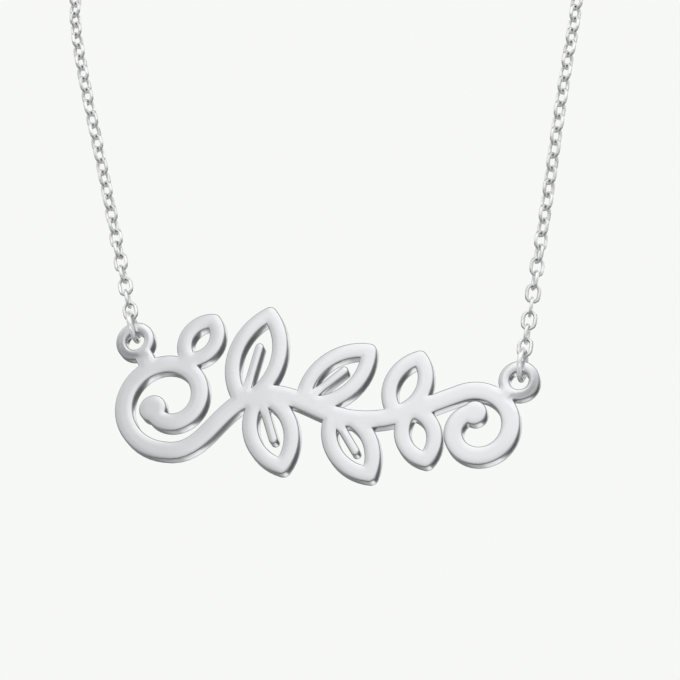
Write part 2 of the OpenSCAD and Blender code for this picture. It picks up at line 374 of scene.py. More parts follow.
CHAIN_FINISH = SilverFinish(
    name="chain_silver",
    colour=(0.95, 0.95, 0.95),
    gloss=0.1,
    dull=0.18,
    wave_size=1.1 * MM,
    wave_depth=0.006 * MM,
    hairline_size=0.12 * MM,
    hairline_depth=0.0005 * MM,
    # Painted shade at the links' crossings and under their lower shoulders.
    recess_attribute="crossing_shade",
    recess_colour=(0.3, 0.3, 0.31),
    recess_dull=0.15,
    metallic=0.77,
)


def ring_place(side: Side) -> Array:
    """Centre of a side's connector ring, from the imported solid."""
    return np.mean(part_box(f"ring_{side.word}"), axis=0)


@dataclass(frozen=True)
class Hanging:
    """How one end of the plate hangs: loop, connector ring and first link along one lean."""

    side: Side
    lean_deg: float
    slack_roll_deg: float
    plate_t: float = 1.2 * MM
    loop_bore: float = 1.7 * MM
    ring_d: float = 3.1 * MM
    ring_wire: float = 0.45 * MM
    ring_gap: float = 0.14 * MM
    link_wire: float = 0.32 * MM

    @property
    def up(self) -> Array:
        """Direction of the strand above the plate."""
        lean = math.radians(self.lean_deg) * self.side.value
        return np.array([math.sin(lean), 0.0, math.cos(lean)])

    @property
    def ring_inner_r(self) -> float:
        """Inner radius of the connector ring."""
        return self.ring_d / 2.0 - self.ring_wire

    @property
    def loop(self) -> Array:
        """Centre of the hang loop, whose upper edges stand in the ring's curve, a gap clear."""
        reach = math.sqrt(self.ring_inner_r ** 2 - (self.plate_t / 2.0) ** 2)
        return ring_place(self.side) - self.up * (self.loop_bore / 2.0 - self.ring_gap + reach)

    @property
    def wire(self) -> Array:
        """Middle of the first link's lowest wire, inside the top of the ring."""
        over = self.ring_inner_r - self.ring_gap - self.link_wire / 2.0
        return ring_place(self.side) + self.up * over


HANGINGS = {
    Side.LEFT: Hanging(Side.LEFT, lean_deg=12.0, slack_roll_deg=32.0),
    Side.RIGHT: Hanging(Side.RIGHT, lean_deg=9.5, slack_roll_deg=58.0),
}


@dataclass
class Route:
    """The line that one strand follows, from its lowest wire over the collarbone to the clasp.

    The neck route's points are X, Y and Z in millimetres on the right side.
    """

    hanging: Hanging
    end: Array
    straight_h: float = 30.0 * MM
    neck_route: tuple[tuple[float, float, float], ...] = (
        (26.5, -105, -57), (34.5, -97.5, -40), (43.5, -84, -26.5), (50.5, -65, -16),
        (52.5, -45, -9), (47.5, -25, -4), (33.5, -9, -1), (16.5, -1, 0),
    )
    front_depth: float = 108.0 * MM
    neck_middle_y: float = -52.0 * MM
    blend_depth: float = 20.0 * MM
    steps: int = 24
    trace: Array = field(init=False)
    along: Array = field(init=False)

    def __post_init__(self) -> None:
        """Traces the route as a smooth cubic curve through its points and measures its length.

        Between p1 and p2 a point is half of 2 p1 + (p2 - p0) t + (2 p0 - 5 p1 + 4 p2 - p3) t^2
        + (3 p1 - p0 - 3 p2 + p3) t^3. The neighbour beyond an end mirrors the one before it.
        """
        rise = self.straight_h / math.cos(math.radians(self.hanging.lean_deg))
        start = self.hanging.wire + self.hanging.up * rise * np.array([0.0, 0.5, 1.0])[:, None]
        neck = np.array(self.neck_route) * MM * np.array([self.hanging.side.value, 1.0, 1.0])
        p = np.vstack([start, neck, self.end])
        p = np.vstack([2.0 * p[0] - p[1], p, 2.0 * p[-1] - p[-2]])
        t = (np.arange(self.steps) / self.steps)[None, :, None]
        a, b, c, d = (p[k:len(p) - 3 + k, None, :] for k in range(4))
        cubic = 3.0 * b - a - 3.0 * c + d
        curve = (2.0 * b + (c - a) * t + (2.0 * a - 5.0 * b + 4.0 * c - d) * t ** 2
                 + cubic * t ** 3) / 2.0
        self.trace = np.vstack([curve.reshape(-1, 3), p[-2]])
        step = np.linalg.norm(np.diff(self.trace, axis=0), axis=1)
        self.along = np.concatenate([[0.0], np.cumsum(step)])

    @property
    def length(self) -> float:
        """Length of the whole strand."""
        return float(self.along[-1])

    def at(self, s: Array) -> Array:
        """Points at lengths along the route. Past the end they go on in a straight line.

        Args:
            s: The lengths.

        Returns:
            One point a row.
        """
        inside = np.stack([np.interp(s, self.along, self.trace[:, k]) for k in range(3)], axis=-1)
        onward = unit(self.trace[-1] - self.trace[-2])
        return inside + np.maximum(s - self.length, 0.0)[:, None] * onward

    def heading(self, s: Array, span: float) -> Array:
        """Directions of the route, each measured over a span.

        Args:
            s: Lengths along the route.
            span: The span.

        Returns:
            One unit vector a row.
        """
        ahead = self.at(np.minimum(s + span / 2.0, self.length))
        behind = self.at(np.maximum(s - span / 2.0, 0.0))
        return unit(ahead - behind)

    def outward(self, s: Array, span: float) -> Array:
        """Directions that face away from the wearer, square to the route.

        In front they are straight ahead, and over the blend depth they turn to point away from
        the neck's middle.

        Args:
            s: Lengths along the route.
            span: The span that the route's direction is measured over.

        Returns:
            One unit vector a row.
        """
        p = self.at(s)
        t = self.heading(s, span)
        sideways = np.clip((p[:, 1] + self.front_depth) / self.blend_depth, 0.0, 1.0)
        level = np.zeros(len(p))
        o = unit(np.stack([p[:, 0] * sideways, p[:, 1] - self.neck_middle_y, level], axis=-1))
        return unit(o - np.einsum("ij,ij->i", o, t)[:, None] * t)


@dataclass
class Strand:
    """One side's cable chain: oval links of round wire, each turned a right angle to the next.

    The wire is a hair thicker than the solid's, to make up for its flat sides.
    """

    route: Route
    finish: Material
    end_wire: Array
    wire: float = 0.335 * MM
    pitch: float = 1.29 * MM
    inner_w: float = 0.73 * MM
    slack: float = 0.008 * MM
    first_at: float = 0.86 * MM
    # Weight of the painted shade under each link's lower shoulders.
    shoulder_tarnish: float = 1.7
    front_links: int = 54
    roll_from: int = 1
    roll_links: int = 9
    front_steps: tuple[int, int] = (7, 6)
    back_steps: tuple[int, int] = (5, 5)

    def link(self, arc_points: int, across: int) -> tuple[Array, Array, Array]:
        """One link about its own middle: a circle carried along two half circles and two legs.

        With the link's plane as XZ, the middle line is (R sin a, 0, +-(L/2 + R cos a)) for a from
        -90 to 90 degrees, and the wire's circle is r (cos b outwards, sin b along Y).

        Args:
            arc_points: Points on each half circle.
            across: Steps round the wire.

        Returns:
            Vertices, four-sided faces, and how much painted shade each vertex takes: inside both
            ends, where the neighbours' wires rest, and under the lower end's two shoulders.
        """
        radius = (self.inner_w + self.wire) / 2.0
        leg = self.pitch + self.slack - self.inner_w
        a = np.linspace(-math.pi / 2.0, math.pi / 2.0, arc_points)
        a = np.concatenate([a, a + math.pi])[:, None]
        b = circle(across)[None, :]
        r = radius + self.wire / 2.0 * np.cos(b)
        x = r * np.sin(a)
        y = np.broadcast_to(self.wire / 2.0 * np.sin(b), x.shape)
        end = np.where(np.arange(2 * arc_points) < arc_points, 1.0, -1.0)[:, None]
        z = r * np.cos(a) + end * leg / 2.0
        points = np.stack([x, y, z], axis=-1).reshape(-1, 3)
        faces = facing_out(points, grid_faces(2 * arc_points, across, True, True))
        # Painted shade inside the ends, where neighbouring links rest, and under the lower end's
        # shoulders.
        inside = np.cos(a) ** 2 * np.maximum(-np.cos(b), 0.0)
        shoulder = np.maximum(-np.cos(a), 0.0) * np.abs(np.sin(a)) * np.maximum(np.cos(b), 0.0)
        return points, faces, (inside + self.shoulder_tarnish * shoulder).reshape(-1)

    def stations(self) -> tuple[Array, Array]:
        """Lengths along the route and rolls of all the links.

        The front links stand at one pitch, and the rest are spread evenly so that the last one
        hooks round the clasp's side. Above the plate the links turn little by little by the side's
        slack roll. The twist at the clasp is shared out over the links behind the front.

        Returns:
            The lengths, and the rolls in radians.
        """
        front = self.first_at + np.arange(self.front_links) * self.pitch
        left_over = self.route.length - front[-1]
        back_links = round(left_over / self.pitch)
        back = front[-1] + left_over * np.arange(1, back_links + 1) / back_links
        s = np.concatenate([front, back])
        i = np.arange(len(s))
        ramp = np.clip((i - self.roll_from) / self.roll_links, 0.0, 1.0)
        hanging = self.route.hanging
        slack_roll = hanging.side.value * hanging.slack_roll_deg
        roll = QUARTER_TURN_DEG * (i % 2) + slack_roll * ramp
        last = s[-1:]
        t = self.route.heading(last, self.pitch)[0]
        o = self.route.outward(last, self.pitch)[0]
        want = math.degrees(math.atan2(self.end_wire @ np.cross(t, o), self.end_wire @ o))
        twist = (want - roll[-1] + QUARTER_TURN_DEG) % HALF_TURN_DEG - QUARTER_TURN_DEG
        roll = roll + twist * np.clip((i - self.front_links + 1) / back_links, 0.0, 1.0)
        return s, np.radians(roll)

    def frames(self) -> tuple[Array, Array]:
        """Places every link.

        Returns:
            Middles of the links, and their axes as rows: across, along the bore, along the chain.
        """
        s, roll = self.stations()
        t = self.route.heading(s, self.pitch)
        o = self.route.outward(s, self.pitch)
        bore = o * np.cos(roll)[:, None] + np.cross(t, o) * np.sin(roll)[:, None]
        return self.route.at(s), np.stack([np.cross(bore, t), bore, t], axis=1)

    def run(self, name: str, node: str, middles: Array, axes: Array,
            steps: tuple[int, int]) -> Object:
        """Copies the link to each place of one stretch, as whole arrays.

        Args:
            name: The piece's name.
            node: The solid it stands for.
            middles: Middles of the links.
            axes: Axes of the links, as rows.
            steps: Points on each half circle of a link, and steps round its wire.

        Returns:
            The stretch of chain.
        """
        points, faces, crossing_shade = self.link(*steps)
        placed = middles[:, None, :] + np.einsum("vk,nkc->nvc", points, axes)
        shift = np.arange(len(middles))[:, None, None] * len(points)
        piece = new_piece(name, placed.reshape(-1, 3), (faces + shift).reshape(-1, 4).tolist(),
                          self.finish)
        set_attribute(piece, CHAIN_FINISH.recess_attribute, np.tile(crossing_shade, len(middles)))
        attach(piece, CHAIN)
        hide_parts(node)
        log.info("%s: %d links", name, len(middles))
        return piece

    def build(self) -> list[Object]:
        """Makes the front and the hidden stretch of the strand.

        Returns:
            The two pieces.
        """
        middles, axes = self.frames()
        n = self.front_links
        word = self.route.hanging.side.word
        return [
            self.run(f"links_{word}_front", f"chain_{word}_front", middles[:n], axes[:n],
                     self.front_steps),
            self.run(f"links_{word}_back", f"chain_{word}_back", middles[n:], axes[n:],
                     self.back_steps),
        ]


@dataclass
class ConnectorRing:
    """A closed ring through a hang loop and a first link, its wire a hair over the solid's."""

    hanging: Hanging
    finish: Material
    wire: float = 0.47 * MM
    worn_reach: tuple[float, float] = (0.3 * MM, 0.7 * MM)
    around: int = 56
    across: int = 16

    def build(self) -> Object:
        """Makes the ring, with painted shade at its two seats, on the hang loop and under the first
        link.

        Returns:
            The ring.
        """
        word = self.hanging.side.word
        radius = (self.hanging.ring_d - self.hanging.ring_wire) / 2.0
        points, faces = wire_ring(ring_place(self.hanging.side), self.hanging.up, Y_AXIS, radius,
                                  self.wire, self.around, self.across)
        piece = new_piece(f"connector_ring_{word}", points, faces.tolist(), self.finish)
        # Painted shade: darker and duller near where the ring meets the first link and passes the
        # hang loop.
        seats = np.array([self.hanging.wire, self.hanging.loop])
        near = np.linalg.norm(points[:, None] - seats, axis=2).min(axis=1)
        seat_shade = 1.0 - smoothstep(near, *self.worn_reach)
        set_attribute(piece, RING_FINISH.recess_attribute, seat_shade)
        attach(piece, PENDANT)
        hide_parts(f"ring_{word}")
        log.info("connector ring %s", word)
        return piece


@dataclass(frozen=True)
class Outline:
    """The plate's outlines in X and Z, with the metal on the left of the way on.

    Each point has the index of its next and of its previous one.
    """

    points: Array
    following: Array
    before: Array

    def distance(self, q: Array) -> Array:
        """Distances from points to the nearest edge.

        Args:
            q: The points.

        Returns:
            One distance for each point.
        """
        a = self.points[None]
        d = a[:, self.following] - a
        size = np.maximum(np.einsum("ijk,ijk->ij", d, d), TINY ** 2)
        out = []
        for part in batches(q):
            w = part[:, None] - a
            t = np.clip(np.einsum("ijk,ijk->ij", w, np.broadcast_to(d, w.shape)) / size, 0.0, 1.0)
            out.append(np.linalg.norm(w - t[:, :, None] * d, axis=2).min(axis=1))
        return np.concatenate(out)

    def inside(self, q: Array) -> Array:
        """Whether a line from a point to one side crosses the outlines an odd number of times.

        Args:
            q: The points.

        Returns:
            Whether each point lies in the metal.
        """
        p = self.points
        b = p[self.following]
        out = []
        for part in batches(q):
            x = part[:, 0][:, None]
            z = part[:, 1][:, None]
            spans = (p[:, 1] > z) != (b[:, 1] > z)
            rise = np.where(b[:, 1] == p[:, 1], 1.0, b[:, 1] - p[:, 1])
            cut = p[:, 0] + (z - p[:, 1]) * (b[:, 0] - p[:, 0]) / rise
            out.append((spans & (x < cut)).sum(axis=1) % 2 == 1)
        return np.concatenate(out)


@dataclass
class Nameplate:
    """The pierced plate: the sheet's own outline with softly rounded edges and a low crown."""

    finish: Material
    edge_r: float = 0.12 * MM
    crown_deg: float = 4.6
    crown_reach: float = 0.5 * MM
    loop_swell: float = 1.2
    loop_tilt_deg: float = 8.0
    loop_tilt_r: float = 1.8 * MM
    loop_tilt_way: tuple[float, float] = (0.75, -0.66)
    loop_tilt_from: float = 0.5 * MM
    inner_insets: tuple[float, float] = (0.19 * MM, 0.3 * MM)
    arc_steps: int = 5
    back_edge_r: float = 0.12 * MM
    back_steps: int = 4
    back_flat: float = 0.15 * MM
    grid_step: float = 0.16 * MM
    miter_limit: float = 1.12
    sharpest: float = 0.05
    sharp_deg: float = 38.0
    loop_fade_r: tuple[float, float] = (1.7 * MM, 2.4 * MM)
    # The loops' brushing dulls them and darkens them as painted shade where their face bends away;
    # the edge satin paints a dark outline, a painted reflection.
    brushed: float = 0.5
    wall_middle: float = 0.62
    wall_satin: tuple[float, float] = (0.45, 0.0)
    weld: float = 0.001 * MM
    flatness: float = 0.01 * MM

    def outline(self) -> tuple[Outline, float, float]:
        """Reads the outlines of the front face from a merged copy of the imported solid.

        They are the edges of its triangles that no other triangle has the other way round.

        Returns:
            The outlines, and the depths of the front and the back.
        """
        copy = bmesh.new()
        copy.from_mesh(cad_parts["nameplate"].data)
        bmesh.ops.remove_doubles(copy, verts=copy.verts, dist=self.weld)
        bmesh.ops.triangulate(copy, faces=copy.faces)
        mesh = bpy.data.meshes.new("plate_copy")
        copy.to_mesh(mesh)
        copy.free()
        co = np.empty(len(mesh.vertices) * 3)
        mesh.vertices.foreach_get("co", co)
        co = co.reshape(-1, 3)
        tri = np.empty(len(mesh.polygons) * 3, dtype=np.int32)
        mesh.polygons.foreach_get("vertices", tri)
        tri = tri.reshape(-1, 3)
        bpy.data.meshes.remove(mesh)
        front_y = co[:, 1].min()
        back_y = co[:, 1].max()
        on_front = np.all(co[tri][:, :, 1] < front_y + self.flatness, axis=1)
        edge = tri[on_front][:, [0, 1, 1, 2, 2, 0]].reshape(-1, 2).astype(np.int64)
        code = edge @ [len(co), 1]
        back_code = edge @ [1, len(co)]
        ids, ends = np.unique(edge[~np.isin(code, back_code)], return_inverse=True)
        start, end = ends.reshape(-1, 2).T
        following = np.empty_like(start)
        following[start] = end
        before = np.empty_like(start)
        before[end] = start
        return Outline(co[ids][:, [0, 2]], following, before), float(front_y), float(back_y)

    def inward(self, line: Outline) -> Array:
        """Directions into the metal, longer at corners so that an inset keeps its distance.

        With unit normals m and n of the two edges at a point, it is (m + n) / (1 + m.n), where
        1 + m.n counts as no less than sharpest, shortened to the miter limit.

        Args:
            line: The outlines.

        Returns:
            One vector for each point.
        """
        ahead = unit(line.points[line.following] - line.points)
        behind = unit(line.points - line.points[line.before])
        m = np.stack([-behind[:, 1], behind[:, 0]], axis=-1)
        n = np.stack([-ahead[:, 1], ahead[:, 0]], axis=-1)
        both = (m + n) / np.maximum(1.0 + np.einsum("ij,ij->i", m, n), self.sharpest)[:, None]
        size = np.linalg.norm(both, axis=1, keepdims=True)
        return both * np.minimum(1.0, self.miter_limit / np.maximum(size, TINY))

    def front_profile(self) -> Array:
        """Works out the front edge: a quarter round that runs into the crown.

        Returns:
            Rows of inset and depth, from the wall to the face.
        """
        join = math.radians(QUARTER_TURN_DEG - self.crown_deg)
        turn = np.linspace(0.0, join, self.arc_steps + 1)
        inset = self.edge_r * (1.0 - np.cos(turn))
        depth = self.crown_depth(inset[-1]) + self.edge_r * (math.sin(join) - np.sin(turn))
        inner = np.array(self.inner_insets)
        more = np.stack([inner, self.crown_depth(inner)], axis=-1)
        return np.vstack([np.stack([inset, depth], axis=-1), more])

    def crown_depth(self, inset: Array | float) -> Array:
        """Depth of the crowned face below its top: a parabola level at crown_reach past the edge.

        Args:
            inset: One distance or an array of them, from the outline into the metal.

        Returns:
            The depths, of the shape of inset.
        """
        slope = math.tan(math.radians(self.crown_deg))
        start = self.edge_r * (1.0 - math.sin(math.radians(self.crown_deg)))
        x = np.clip(np.asarray(inset) - start, 0.0, self.crown_reach)
        return slope * (self.crown_reach / 2.0 - x + x * x / (2.0 * self.crown_reach))

    @property
    def front_rows(self) -> int:
        """Rows of the edge profile before the one in the wall's middle."""
        return self.arc_steps + 1 + len(self.inner_insets)

    def satin_rows(self, rows: int) -> Array:
        """How much satin and painted shade each row of the edge profile takes.

        The face is polished. Round each edge the value rises as sin(2a) to 1, and falls to the
        wall's value, which is least in the wall's middle. Besides dulling the silver, it darkens
        its colour there: a painted dark reflection that outlines the edges.

        Args:
            rows: Rows of the whole profile.

        Returns:
            One value per row.
        """
        at_edge, in_middle = self.wall_satin
        satin_and_shade = np.zeros(rows)
        for count, way in ((self.arc_steps, -1), (self.back_steps, 1)):
            a = np.linspace(0.0, math.pi / 2.0, count + 1)
            row = self.front_rows + way * np.arange(1, count + 2)
            satin_and_shade[row] = np.maximum(np.sin(2.0 * a), at_edge * np.cos(a))
        satin_and_shade[self.front_rows] = in_middle
        return satin_and_shade

    def back_profile(self, thickness: float) -> Array:
        """Works out the edge behind the wall's front: its middle, a quarter round and a flat rim.

        Args:
            thickness: The plate's thickness.

        Returns:
            Rows of inset and depth.
        """
        turn = np.linspace(0.0, math.pi / 2.0, self.back_steps + 1)
        inset = self.back_edge_r * (1.0 - np.cos(turn))
        depth = thickness - self.back_edge_r * (1.0 - np.sin(turn))
        middle = [[0.0, self.wall_middle * thickness]]
        flat = [[self.back_flat, thickness]]
        return np.vstack([middle, np.stack([inset, depth], axis=-1), flat])

    def near_loops(self, q: Array) -> Array:
        """How far points in X and Z belong to a hang loop: 1 on it, fading to 0 in the scroll."""
        near = np.min([np.linalg.norm(q - h.loop[[0, 2]], axis=1) for h in HANGINGS.values()],
                      axis=0)
        return 1.0 - smoothstep(near, *self.loop_fade_r)

    def loop_fall(self, q: Array) -> Array:
        """How far the front of a hang loop leans back, as its face bends down and outwards.

        At a loop it is tan(tilt) p^2 / 2R for the way p past a line short of the loop's middle,
        and it fades out where the loop blends into the scroll.

        Args:
            q: Points in X and Z.

        Returns:
            Depths behind the plate's own front.
        """
        fall = np.zeros(len(q))
        for side, hanging in HANGINGS.items():
            away = q - hanging.loop[[0, 2]]
            way = unit(np.array(self.loop_tilt_way) * np.array([side.value, 1.0]))
            past = np.maximum(away @ way + self.loop_tilt_from, 0.0)
            fade = 1.0 - smoothstep(np.linalg.norm(away, axis=1), *self.loop_fade_r)
            bend = past * past / (2.0 * self.loop_tilt_r)
            fall += math.tan(math.radians(self.loop_tilt_deg)) * bend * fade
        return fall

    def face_grid(self, line: Outline) -> Array:
        """Spreads points over the face in rows, each second row moved on by half a step.

        Args:
            line: The outlines.

        Returns:
            The points that lie in the metal, clear of the rim.
        """
        low = line.points.min(axis=0)
        high = line.points.max(axis=0)
        grid = np.stack(np.meshgrid(np.arange(low[0], high[0], self.grid_step),
                                    np.arange(low[1], high[1], self.grid_step)), axis=-1)
        grid = grid.reshape(-1, 2)
        row = np.round((grid[:, 1] - low[1]) / self.grid_step)
        grid[:, 0] += row % 2 * self.grid_step / 2.0
        grid = grid[line.inside(grid)]
        return grid[line.distance(grid) > self.inner_insets[-1] + self.grid_step / 2.0]

    @staticmethod
    def filling(rim: Outline, extra: Array) -> tuple[Array, Array, Array]:
        """Fills the metal inside a rim with triangles that meet it and the extra points.

        Args:
            rim: The rim.
            extra: Points within the rim.

        Returns:
            All points, the triangles, and the index among the inputs of each point, or -1.
        """
        coordinates = np.vstack([rim.points, extra]).tolist()
        edges = np.stack([np.arange(len(rim.points)), rim.following], axis=-1).tolist()
        hull = 0
        points, _, faces, origin, _, _ = delaunay_2d_cdt(coordinates, edges, [], hull, TINY, True)
        points = np.array(points)
        faces = np.array(faces)
        metal = rim.inside(points[faces].mean(axis=1))
        source = np.array([ids[0] if ids else -1 for ids in origin])
        return points, faces[metal], source

    def build(self) -> Object:
        """Carries the edge profile round every outline and fills the two faces.

        Returns:
            The plate.
        """
        line, front_y, back_y = self.outline()
        p = line.points
        n = len(p)
        profile = np.vstack([self.front_profile()[::-1], self.back_profile(back_y - front_y)])
        flat = p + self.inward(line) * profile[:, 0][:, None, None]
        depth = np.repeat(front_y + profile[:, 1][:, None], n, axis=1)
        swell = self.crown_depth(profile[:self.front_rows, 0])[:, None] * self.loop_swell
        depth[:self.front_rows] += swell * self.near_loops(p) + self.loop_fall(p)
        rings = np.stack([flat[:, :, 0], depth, flat[:, :, 1]], axis=-1).reshape(-1, 3)
        here = np.arange(n)
        level = (np.arange(len(profile) - 1) * n)[:, None]
        walls = np.stack([level + here, level + n + here, level + n + line.following,
                          level + line.following], axis=-1).reshape(-1, 4)

        front_rim = replace(line, points=flat[0])
        back_rim = replace(line, points=flat[-1])
        front_points, front_faces, source = self.filling(front_rim, self.face_grid(line))
        back_points, back_faces, back_source = self.filling(back_rim, np.empty((0, 2)))

        added = (source < 0) | (source >= n)
        index = np.where(added, len(rings) - 1 + np.cumsum(added), source)
        q = front_points[added]
        crown = 1.0 + self.loop_swell * self.near_loops(q)
        face_y = front_y + self.crown_depth(line.distance(q)) * crown + self.loop_fall(q)
        front = np.stack([q[:, 0], face_y, q[:, 1]], axis=-1)
        back_added = back_source < 0
        back_index = np.where(back_added, len(rings) + len(q) - 1 + np.cumsum(back_added),
                              len(rings) - n + back_source)
        q = back_points[back_added]
        back = np.stack([q[:, 0], np.full(len(q), back_y), q[:, 1]], axis=-1)
        points = np.vstack([rings, front, back])
        caps = np.vstack([index[front_faces], back_index[back_faces[:, ::-1]]])
        faces = walls.tolist() + caps.tolist()
        piece = new_piece("plate", points, faces, self.finish, self.sharp_deg)
        # Painted shade and painted reflection: the loops darken as they bend back and the edge rows
        # darken to an outline; both are also duller.
        fall = self.loop_fall(points[:, [0, 2]])
        satin_and_shade = self.brushed * fall / fall.max()
        satin_and_shade[:len(rings)] += self.satin_rows(len(profile)).repeat(n)
        set_attribute(piece, PLATE_FINISH.recess_attribute, satin_and_shade)
        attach(piece, PENDANT)
        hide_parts("nameplate")
        log.info("plate: %d faces", len(faces))
        return piece


@dataclass
class RingClasp:
    """The clasp at the nape: a round tube bent to a ring, its eye and a rounded thumb knob."""

    finish: Material
    tube: float = 1.3 * MM
    eye_d: float = 2.6 * MM
    eye_wire: float = 0.6 * MM
    knob_d: float = 0.8 * MM
    knob_flat: float = 0.45
    knob_arc_points: int = 7
    ring_steps: tuple[int, int] = (72, 24)
    eye_steps: tuple[int, int] = (48, 16)
    knob_steps: int = 24

    def knob_profile(self, foot: float, top: float) -> Array:
        """Works out the knob: a straight stem with a quarter round at its top edge.

        Args:
            foot: Height of the stem's foot.
            top: Height of the flat top.

        Returns:
            Rows of radius and height.
        """
        r = self.knob_d / 2.0
        corner = r * (1.0 - self.knob_flat)
        turn = np.linspace(0.0, math.pi / 2.0, self.knob_arc_points)
        edge_r = r - corner * (1.0 - np.cos(turn))
        edge_h = top - corner * (1.0 - np.sin(turn))
        shoulder = np.stack([edge_r, edge_h], axis=-1)
        return np.vstack([[[0.0, foot], [r, foot]], shoulder, [[0.0, top]]])

    def build(self) -> Object:
        """Makes the clasp in the place of its solid.

        Returns:
            The clasp.
        """
        low, high = np.array(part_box("clasp"))
        outer_r = high[0]
        middle = np.array([0.0, (low[1] + high[1]) / 2.0, 0.0])
        radius = outer_r - self.tube / 2.0
        eye_r = (self.eye_d - self.eye_wire) / 2.0
        eye = middle - X_AXIS * (outer_r + eye_r - self.eye_wire / 2.0)
        shells = [
            wire_ring(middle, X_AXIS, Z_AXIS, radius, self.tube, *self.ring_steps),
            wire_ring(eye, X_AXIS, Z_AXIS, eye_r, self.eye_wire, *self.eye_steps),
            turned_shape(middle, X_AXIS, Y_AXIS, self.knob_profile(radius, high[2]),
                         self.knob_steps),
        ]
        points, faces = join_shells(shells)
        piece = new_piece("ring_clasp", points, faces, self.finish)
        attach(piece, CHAIN)
        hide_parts("clasp")
        log.info("ring clasp")
        return piece


@dataclass
class EndRing:
    """The ring that ends the right strand and sits in the clasp, leaning back on the nape."""

    finish: Material
    wire: float = 0.6 * MM
    tilt_deg: float = 30.0
    around: int = 56
    across: int = 16

    @property
    def flat(self) -> Array:
        """Direction in the ring's plane that is square to X."""
        tilt = math.radians(self.tilt_deg)
        return np.array([0.0, math.cos(tilt), math.sin(tilt)])

    def build(self) -> Object:
        """Makes the ring in the place of its solid.

        Returns:
            The ring.
        """
        low, high = np.array(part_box("end_ring"))
        radius = (high[0] - low[0] - self.wire) / 2.0
        points, faces = wire_ring((low + high) / 2.0, X_AXIS, self.flat, radius, self.wire,
                                  self.around, self.across)
        piece = new_piece("chain_end_ring", points, faces.tolist(), self.finish)
        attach(piece, CHAIN)
        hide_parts("end_ring")
        log.info("end ring")
        return piece


@dataclass
class Camera:
    """A near camera below and to the right of the plate, as the photograph was taken."""

    azimuth_deg: float = 13.0
    elevation_deg: float = -24.0
    distance: float = 250.0 * MM
    focal_px: float = 2825.0
    sensor: float = 36.0
    clip: tuple[float, float] = (10.0 * MM, 50.0)
    target: tuple[float, float, float] = (0.0, -108.0 * MM, -106.0 * MM)
    target_px: tuple[float, float] = (324.3, 362.2)

    def build(self) -> Object:
        """Places the camera so that the target falls on its pixel.

        Returns:
            The camera, which is made the scene's own.
        """
        azimuth = math.radians(self.azimuth_deg)
        elevation = math.radians(self.elevation_deg)
        back = Vector((math.sin(azimuth) * math.cos(elevation),
                       -math.cos(azimuth) * math.cos(elevation), math.sin(elevation)))
        right = Vector((math.cos(azimuth), math.sin(azimuth), 0.0))
        up = back.cross(right)
        per_px = self.distance / self.focal_px
        across = (IMAGE_PX / 2.0 - self.target_px[0]) * per_px
        above = (self.target_px[1] - IMAGE_PX / 2.0) * per_px
        data = bpy.data.cameras.new("camera")
        data.lens = self.focal_px * self.sensor / IMAGE_PX
        data.sensor_width = self.sensor
        data.clip_start, data.clip_end = self.clip
        camera = bpy.data.objects.new("camera", data)
        place = Vector(self.target) + right * across + up * above + back * self.distance
        turn = Matrix((right, up, back)).transposed()
        camera.matrix_world = Matrix.Translation(place) @ turn.to_4x4()
        bpy.context.scene.collection.objects.link(camera)
        bpy.context.scene.camera = camera
        return camera


@dataclass(frozen=True)
class Shading:
    """How bright the room is along one angle: rows of degrees and tone."""

    stops: tuple[tuple[float, float], ...]

    def node(self, tree: NodeTree, across: NodeSocket, ahead: NodeSocket) -> NodeSocket:
        """Reads the tone at the angle whose tangent is across over ahead.

        Args:
            tree: The world's node tree.
            across: The socket of the angle's far side.
            ahead: The socket of the angle's near side.

        Returns:
            The tone's socket.
        """
        angle = add_node(tree, "Math", across, ahead, operation="ARCTAN2")
        share = add_node(tree, "MapRange", angle.outputs["Value"], -math.pi, math.pi)
        ramp = add_node(tree, "ValToRGB", share.outputs["Result"])
        ramp.color_ramp.interpolation = "EASE"
        stops = ramp.color_ramp.elements
        halfway = 0.5
        while len(stops) < len(self.stops):
            stops.new(halfway)
        for stop, (degrees, tone) in zip(stops, self.stops):
            stop.position = (degrees + HALF_TURN_DEG) / (2.0 * HALF_TURN_DEG)
            stop.color = (tone, tone, tone, 1.0)
        return ramp.outputs["Color"]


